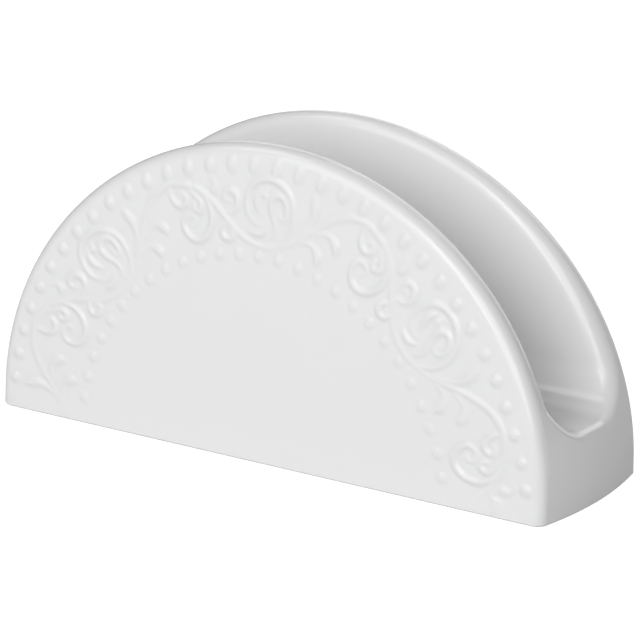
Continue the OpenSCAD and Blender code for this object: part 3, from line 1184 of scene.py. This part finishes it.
@dataclass
class SlotChannel:
    """The slot between the walls: its inner faces, round-bottomed floor, lips and the two ends."""

    skin: GlazedSkin
    straight_l: float = 2.0
    brim_shares: tuple[float, ...] = (1, 0.99, 0.975, 0.95)
    deep_share: float = 0.9
    arch_steps: int = 90
    profile_steps: int = 30
    inward_steps: int = 16
    edge_steps: int = 8
    outward_steps: int = 14
    tuck_steps: int = 4

    def brim(self) -> tuple[Points, int, int]:
        """The sharp line where the slot would meet the outside, from crest to the floor's middle.

        Returns:
            Its points, the place of the first one on the profile, and of the one halfway round
            the hollow corner.
        """
        s = self.skin.sizes
        join_z = s.slot_floor_h + s.slot_corner_r + self.straight_l
        join = math.degrees(math.asin(((join_z - s.spring_h) / s.arch_b) ** (s.arch_power / 2)))
        arch, _ = s.arch_stations(np.linspace(90, join, self.arch_steps + 1))
        upper = np.stack([arch[:, 0], np.full(len(arch), s.slot_half), arch[:, 1]], -1)
        r = s.slot_corner_r
        straight, bend, flat = self.straight_l, r * math.pi / 2, s.slot_half - r
        total = straight + bend + flat
        way = np.linspace(0, total, self.profile_steps + 1)[1:]
        turn = np.clip((way - straight) / r, 0, math.pi / 2)
        y = flat + r * np.cos(turn) - np.maximum(way - straight - bend, 0)
        z = join_z - np.minimum(way, straight) - r * np.sin(turn)
        line = np.concatenate([upper, np.stack([s.arch_x(z), y, z], -1)])
        line[:, 0] += s.bow(line[:, 1], line[:, 2])
        corner = self.arch_steps + int(round((straight + bend / 2) / total * self.profile_steps))
        return line, self.arch_steps, corner

    def edge_ways(self, line: Points) -> tuple[Points, Points]:
        """Finds the ways off the brim.

        Args:
            line: The brim.

        Returns:
            The ways into the slot and over the outside.
        """
        s = self.skin.sizes
        along = np.gradient(line, axis=0)
        along[0] = (1, 0, 0)
        along[-1] = (0, -1, 0)
        along = unit(along)
        qy = np.maximum(line[:, 1] - (s.slot_half - s.slot_corner_r), 0)
        qz = np.maximum(s.slot_floor_h + s.slot_corner_r - line[:, 2], 0)
        inner = unit(np.stack([0 * qy, -qy, qz], -1))
        u = np.maximum(line[:, 0] - s.bow(line[:, 1], line[:, 2]), 0) / s.arch_a
        v = (line[:, 2] - s.spring_h) / s.arch_b
        n = s.arch_power
        outer = np.stack([u ** (n - 1) / s.arch_a, 0 * u, v ** (n - 1) / s.arch_b], -1)
        slope = 2 * s.end_bow * line[:, 1] / (s.foot_d / 2 - s.face_r) ** 2
        fade = s.bow(0 * line[:, 1], line[:, 2]) / s.end_bow
        outer[:, 1] = slope * fade * outer[:, 0]
        outer = unit(outer)
        into = np.cross(inner, along)
        over = np.cross(along, outer)
        into *= np.where((into * outer).sum(1, keepdims=True) > 0, -1, 1)
        over *= np.where((over * inner).sum(1, keepdims=True) > 0, -1, 1)
        return unit(into), unit(over)

    def border(self, join: int, corner: int, line: Points, start: float) -> Points:
        """Points down the seam and along the foot, opposite the brim.

        Args:
            join: Place on the brim where the border starts.
            corner: Place on the brim opposite the foot's corner.
            line: The brim.
            start: Height of its first point.

        Returns:
            The points.
        """
        s = self.skin.sizes
        down = start + (s.low - start) * np.linspace(0, 1, corner - join + 1)
        seam = np.stack([0 * down, s.seam_y(down), down], -1)
        back = np.linspace(0, 1, len(line) - corner)[1:]
        foot = np.stack([0 * back, s.seam_y(s.low) * (1 - back), np.full(len(back), s.low)], -1)
        out = np.concatenate([seam, foot])
        out[:, 0] = s.arch_x(out[:, 2]) + s.bow(out[:, 1], out[:, 2])
        return out

    def edge(self, line: Points, join: int) -> Points:
        """Rounds the edge along the brim.

        Args:
            line: The brim.
            join: Place on it where the seam ends.

        Returns:
            A grid from the slot's inside to the seam or the end.
        """
        s = self.skin.sizes
        into, over = self.edge_ways(line)
        into, over, r = into[:, None], over[:, None], s.slot_edge(line[:, None, 2:])
        steps = np.linspace(0, 1, self.edge_steps + 1)[None, :, None]
        turns = steps * np.arccos(s.seam_in / r)
        edge = line[:, None] + r * ((1 - np.sin(turns)) * into + (1 - np.cos(turns)) * over)
        edge[:join + 1, -1, 1] = s.seam_y(edge[:join + 1, -1, 2])
        edge = self.skin.settle(edge, free_axes(edge, np.s_[0, :, 0], np.s_[-1, :, 1],
                                                np.s_[:join + 1, -1, 1]))
        edge[0, :, 0] = 0
        edge[-1, :, 1] = 0
        return edge

    def inside(self, edge: Points, join: int) -> tuple[Points, Points]:
        """Fills the inside of the slot.

        Args:
            edge: The rounded edge.
            join: Place where the seam ends.

        Returns:
            The flat upper part of the side, and the hollow corner with the floor.
        """
        s = self.skin.sizes
        pole = np.array([0.0, s.slot_half, edge[join, 0, 2]])
        deep = np.linspace(self.deep_share, 0, self.inward_steps + 1 - len(self.brim_shares))
        shares = np.concatenate([self.brim_shares, deep])
        upper = pole + shares[None, :, None] * (edge[:join + 1, 0][:, None] - pole)
        upper[:, :, 1] = s.slot_half
        rest = edge[join:, 0]
        lower = np.repeat(rest[:, None], len(shares), 1)
        lower[:, :, 0] = rest[:, 0][:, None] * shares
        lower[-1, :, 1] = 0
        lower[0] = upper[-1]
        return upper, lower

    def end(self, edge: Points, border: Points) -> Points:
        """Fills the end of the body.

        Args:
            edge: The lower part of the rounded edge.
            border: The points opposite it.

        Returns:
            The grid between them.
        """
        s = self.skin.sizes
        t = np.linspace(0, 1, self.outward_steps + 1)[None, :, None]
        start = edge[:, -1][:, None]
        ends = start + (border[:, None] - start) * t
        ends[:, :, 0] = s.arch_x(ends[:, :, 2]) + s.bow(ends[:, :, 1], ends[:, :, 2])
        ends[:, 0] = edge[:, -1]
        ends[:, -1] = border
        free = free_axes(ends, np.s_[-1, :, 1], np.s_[:, 0], np.s_[:, -1])
        free[0] = (1, 0, 0)
        ends = self.skin.settle(ends, free)
        ends[-1, :, 1] = 0
        return ends

    def quarter(self) -> tuple[list[Points], Points, Points]:
        """One quarter of the skin, at positive x and y.

        Returns:
            Its grids, its line along the seam, and its line along the underside.
        """
        line, join, corner = self.brim()
        edge = self.edge(line, join)
        border = self.border(join, corner, line, edge[join, -1, 2])
        border = self.skin.settle(border, np.zeros_like(border) + np.array([1, 0, 0]))
        border[0] = edge[join, -1]
        turned = np.array([[1, 0, 0], [1, 1, 0]])
        under = self.skin.tuck(border[corner - join:], self.tuck_steps, turned)
        seam = np.concatenate([edge[:join + 1, -1], border[1:corner - join + 1], under[1:, 0]])
        grids = [edge, *self.inside(edge, join), self.end(edge[join:], border), under]
        return grids, seam, under[-1]

    def build(self, glaze: Material) -> None:
        """Makes the channel from its quarter, with a hollow underside.

        Args:
            glaze: Its material.
        """
        s = self.skin.sizes
        grids, seam, foot = self.quarter()
        mesh = PatchMesh("slot_channel")
        half_l, half_w, low = s.cavity_half_l, s.slot_half, s.foot_h
        top = s.slot_floor_h - s.floor_t
        for mx in (1, -1):
            for my in (1, -1):
                way = np.array([mx, my, 1.0])
                for grid in grids:
                    mesh.add_grid(grid * way, self.skin.normals(grid) * way)
                inside = [[0, seam[-1, 1], low], [0, half_w, low], [half_l, half_w, low],
                          [half_l, 0, low]]
                mesh.add_face(np.concatenate([foot[::-1], inside]) * way, (0, 0, -1))
        for my in (1, -1):
            right = seam * np.array([1, my, 1])
            left = (seam * np.array([-1, my, 1]))[1:][::-1]
            bottom = [[0, my * seam[-1, 1], low]]
            mesh.add_face(np.concatenate([left, right, bottom]), (0, my, 0))
        for way in (1, -1):
            x, y = way * half_l, way * half_w
            mesh.add_face([[x, t, low] for t in (-half_w, 0, half_w)]
                          + [[x, half_w, top], [x, -half_w, top]], (-way, 0, 0))
            mesh.add_face([[t, y, low] for t in (-half_l, 0, half_l)]
                          + [[half_l, y, top], [-half_l, y, top]], (0, -way, 0))
        mesh.add_face([[-half_l, -half_w, top], [half_l, -half_w, top], [half_l, half_w, top],
                       [-half_l, half_w, top]], (0, 0, -1))
        finish_piece(mesh.build(), glaze, "glaze", "slot_trough", "left_end", "right_end")


def rounding(flat: Points, way: Points, r: float, z: float, steps: int,
             rise: int = 1) -> list[Points]:
    """Rings of a rounded edge, from a height out on the flat to its upright side.

    Args:
        flat: The upright side's outline, in x and y.
        way: For each point, the way out to the flat.
        r: Radius of the edge.
        z: Height of the flat.
        steps: How many steps the quarter turn has.
        rise: 1 where the upright side goes up from the flat, and -1 where it goes down.

    Returns:
        The rings.
    """
    return [at_height(flat + r * (1 - math.sin(a)) * way, z + rise * r * (1 - math.cos(a)))
            for a in np.linspace(0, math.pi / 2, steps + 1)]


@dataclass
class Underside:
    """The panel with its drain hole, and the bare foot ring."""

    skin: GlazedSkin
    around: int = 192
    hole_edge_r: float = 0.6
    hole_steps: int = 4
    foot_edge_r: float = 0.1
    foot_steps: int = 3
    search_r: float = 120.0
    search_steps: int = 40

    def square_ring(self, half_l: float, half_w: float, angles: Points) -> Points:
        """Points of a rectangle, where rays from its middle meet it.

        Args:
            half_l: Half of its length.
            half_w: Half of its width.
            angles: The angles of the rays.

        Returns:
            The points in x and y.
        """
        c, s = np.cos(angles), np.sin(angles)
        x_reach, y_reach = half_l / np.maximum(abs(c), TINY), half_w / np.maximum(abs(s), TINY)
        return np.stack([c, s], -1) * np.minimum(x_reach, y_reach)[:, None]

    def full_turn(self, half_l: float, half_w: float) -> Points:
        """Angles of a full turn, spread evenly along a rectangle, with its corners among them.

        Args:
            half_l: Half of its length.
            half_w: Half of its width.

        Returns:
            The angles, closed.
        """
        quarter = self.around // 4
        share = int(quarter * half_l / (half_l + half_w))
        along = np.arctan2(np.linspace(0, half_w, quarter - share + 1)[:-1], half_l)
        one = np.concatenate([along, np.arctan2(half_w, np.linspace(half_l, 0, share + 1))])
        half = np.concatenate([one, math.pi - one[::-1][1:]])
        return np.concatenate([half, half[1:] + math.pi])

    def band(self, name: str, rings: list[Points], middle: Points) -> Piece:
        """Closes rings into a band that goes right round, each face with its own normal.

        Args:
            name: The piece's name.
            rings: Rings of equal count, the first one repeated at the end.
            middle: A ring inside the band's section, to tell out from in.

        Returns:
            The piece.
        """
        mesh = PatchMesh(name)
        for pair in zip(rings, rings[1:]):
            pair = np.stack(pair, 0)
            normal = np.cross(np.gradient(pair, axis=1), (pair[1] - pair[0])[None])
            out = pair.mean(0) - middle
            normal = normal * np.sign((normal.mean(0) * out).sum(-1, keepdims=True))
            mesh.add_grid(pair, unit(normal))
        return mesh.build()

    def panel(self, glaze: Material) -> None:
        """Makes the panel that closes the underside.

        Args:
            glaze: Its material.
        """
        s = self.skin.sizes
        half_l, half_w = s.cavity_half_l, s.slot_half
        angles = self.full_turn(half_l, half_w)
        low, high, hole = s.panel_recess, s.panel_recess + s.panel_t, s.drain_d / 2
        edge = self.square_ring(half_l, half_w, angles)
        circle = np.stack([np.cos(angles), np.sin(angles)], -1)
        edges = [rounding(circle * hole, circle, self.hole_edge_r, z, self.hole_steps, rise)
                 for z, rise in ((low, 1), (high, -1))]
        rings = [at_height(edge, low), *edges[0], *edges[1][::-1], at_height(edge, high)]
        middle = at_height(circle * (hole + half_w) / 2, (low + high) / 2)
        obj = self.band("base_panel", [*rings, rings[0]], middle)
        finish_piece(obj, glaze, "glaze", "base_panel")

    def foot(self, biscuit: Material) -> None:
        """Makes the bare ring that the holder stands on.

        Args:
            biscuit: Its material.
        """
        s = self.skin.sizes
        half_l, half_w = s.cavity_half_l + s.foot_h, s.slot_half + s.foot_h
        angles = self.full_turn(half_l, half_w)
        ray = np.stack([np.cos(angles), np.sin(angles)], -1)
        near, far = np.zeros(len(angles)), np.full(len(angles), self.search_r)
        for _ in range(self.search_steps):
            half = (near + far) / 2
            inside = self.skin.distance(at_height(ray * half[:, None], s.low)) < 0
            near, far = np.where(inside, half, near), np.where(inside, far, half)
        outline = ray * near[:, None]
        out = unit(self.skin.normals(at_height(outline, s.low))[:, :2])
        inner = self.square_ring(half_l, half_w, angles)
        outer = outline - s.foot_tuck * out
        r, steps = self.foot_edge_r, self.foot_steps
        rings = [at_height(outer, s.foot_h), *rounding(outer, -out, r, 0, steps)[::-1],
                 *rounding(inner, unit(inner), r, 0, steps), at_height(inner, s.foot_h)]
        middle = at_height((outer + inner) / 2, s.foot_h / 2)
        obj = self.band("foot_ring", [*rings, rings[0]], middle)
        finish_piece(obj, biscuit, "biscuit", "foot_ring")


@dataclass(frozen=True)
class CameraSpot:
    """Where the photograph was taken from."""

    azimuth: float = 32.16
    elevation: float = 17.674
    roll: float = 0.829
    distance: float = 1049.3
    focal_px: float = 4315.2
    centre_px: tuple[float, float] = (315.195, 286.193)
    aim_h: float = 39.0
    frame_px: float = 640.0
    sensor: float = 36.0
    clip_end: float = 50.0

    def build(self) -> None:
        """Makes the scene's camera, turned so that no shift is needed."""
        az, el, roll = (math.radians(v) for v in (self.azimuth, self.elevation, self.roll))
        back = Vector((math.sin(az) * math.cos(el), -math.cos(az) * math.cos(el), math.sin(el)))
        place = Vector((0, 0, self.aim_h)) + back * self.distance
        right = (-back).cross(Vector((0, 0, 1))).normalized()
        up = right.cross(-back)
        r2 = math.cos(roll) * right + math.sin(roll) * up
        u2 = -math.sin(roll) * right + math.cos(roll) * up
        half = self.frame_px / 2
        ahead = (-back + r2 * (half - self.centre_px[0]) / self.focal_px
                 - u2 * (half - self.centre_px[1]) / self.focal_px).normalized()
        r3 = (r2 - ahead * r2.dot(ahead)).normalized()
        u3 = r3.cross(ahead)
        data = bpy.data.cameras.new("view")
        data.sensor_width = self.sensor
        data.lens = self.focal_px * self.sensor / self.frame_px
        data.clip_end = self.clip_end
        cam = new_object("view", data)
        turn = Matrix((r3, u3, -ahead)).transposed().to_4x4()
        cam.matrix_world = Matrix.Translation(place * MM) @ turn
        bpy.context.scene.camera = cam


@dataclass(frozen=True)
class Lamp:
    """A soft square lamp, aimed at the middle of the object."""

    name: str
    place: tuple[float, float, float]
    size: float
    power: float


@dataclass(frozen=True)
class Studio:
    """A plain pale floor and plain soft light."""

    floor_half: float = 6.0
    floor_pale: float = 0.75
    floor_seen: float = 0.3
    floor_glow: float = 0.92
    aim_h: float = 0.04
    ambient: float = 0.15
    lamps: tuple[Lamp, ...] = (
        Lamp("key", (0.72, -1.58, 0.77), 1.5, 18.0),
        Lamp("fill", (-0.3, -1.62, 0.95), 1.5, 11.5),
        Lamp("side", (-1.01, -0.58, 1.5), 0.72, 3.2),
        Lamp("back", (0.0, 1.34, 1.34), 1.3, 5.5),
        Lamp("rear", (-0.3, 1.9, 0.3), 2.2, 19.0))

    def seen_ray(self, m: TreeMaker) -> Num:
        """1 for rays of the camera, and 0 for the rest."""
        return Num(m, m.add("ShaderNodeLightPath").outputs["Is Camera Ray"])

    def build(self) -> None:
        """Makes the floor, the world and the lamps."""
        scene = bpy.context.scene
        scene.view_settings.view_transform = "Standard"
        h = self.floor_half
        mesh = bpy.data.meshes.new("floor")
        mesh.from_pydata([(-h, -h, 0), (h, -h, 0), (h, h, 0), (-h, h, 0)], [], [(0, 1, 2, 3)])
        floor = new_object("floor", mesh)
        floor.data.materials.append(self.floor_material())
        world = bpy.data.worlds.new("studio")
        scene.world = world
        world.use_nodes = True
        m = TreeMaker(world.node_tree)
        back = world.node_tree.nodes["Background"]
        back.inputs["Color"].default_value = (1, 1, 1, 1)
        seen = self.seen_ray(m)
        m.plug(seen * (1 - self.ambient) + self.ambient, back.inputs["Strength"])
        for lamp in self.lamps:
            self.add_lamp(lamp)

    def floor_material(self) -> Material:
        """Pale floor that glows for the camera, to read white, and keeps the object's shadow.

        Returns:
            The material.
        """
        mat, m, _ = new_material("pale_floor")
        m.tree.nodes.clear()
        plain, weak = (m.through("ShaderNodeBsdfDiffuse", (pale, pale, pale, 1)).outputs[0]
                       for pale in (self.floor_pale, self.floor_seen))
        glow = m.add("ShaderNodeEmission")
        m.plug(self.floor_glow, glow.inputs["Strength"])
        both = m.through("ShaderNodeAddShader", weak, {1: glow.outputs[0]}).outputs[0]
        mix = m.through("ShaderNodeMixShader", self.seen_ray(m), {1: plain, 2: both})
        m.through("ShaderNodeOutputMaterial", mix.outputs[0])
        return mat

    def add_lamp(self, lamp: Lamp) -> None:
        """Adds an area lamp, aimed at the object.

        Args:
            lamp: The lamp.
        """
        data = bpy.data.lights.new(lamp.name, "AREA")
        data.shape = "SQUARE"
        data.size = lamp.size
        data.energy = lamp.power
        place = Vector(lamp.place)
        aim = Vector((0, 0, self.aim_h)) - place
        turn = aim.to_track_quat("-Z", "Y").to_matrix().to_4x4()
        new_object(lamp.name, data).matrix_world = Matrix.Translation(place) @ turn


def main() -> None:
    """Builds the studio and the napkin holder, piece by piece."""
    logging.basicConfig(level=logging.INFO, format="%(message)s")
    CameraSpot().build()
    Studio().build()
    glaze = GlazeFinish().material()
    biscuit = BiscuitFinish().material()
    skin = GlazedSkin()
    band = ScrollSizes()
    strokes = band.stroke_object()
    relief = ReliefTree(skin.sizes, band, strokes)
    for side in Side:
        WallPlate(side, skin).build(relief, glaze)
    bpy.data.objects.remove(strokes)
    SlotChannel(skin).build(glaze)
    under = Underside(skin)
    under.panel(glaze)
    under.foot(biscuit)


if __name__ == "__main__":
    main()
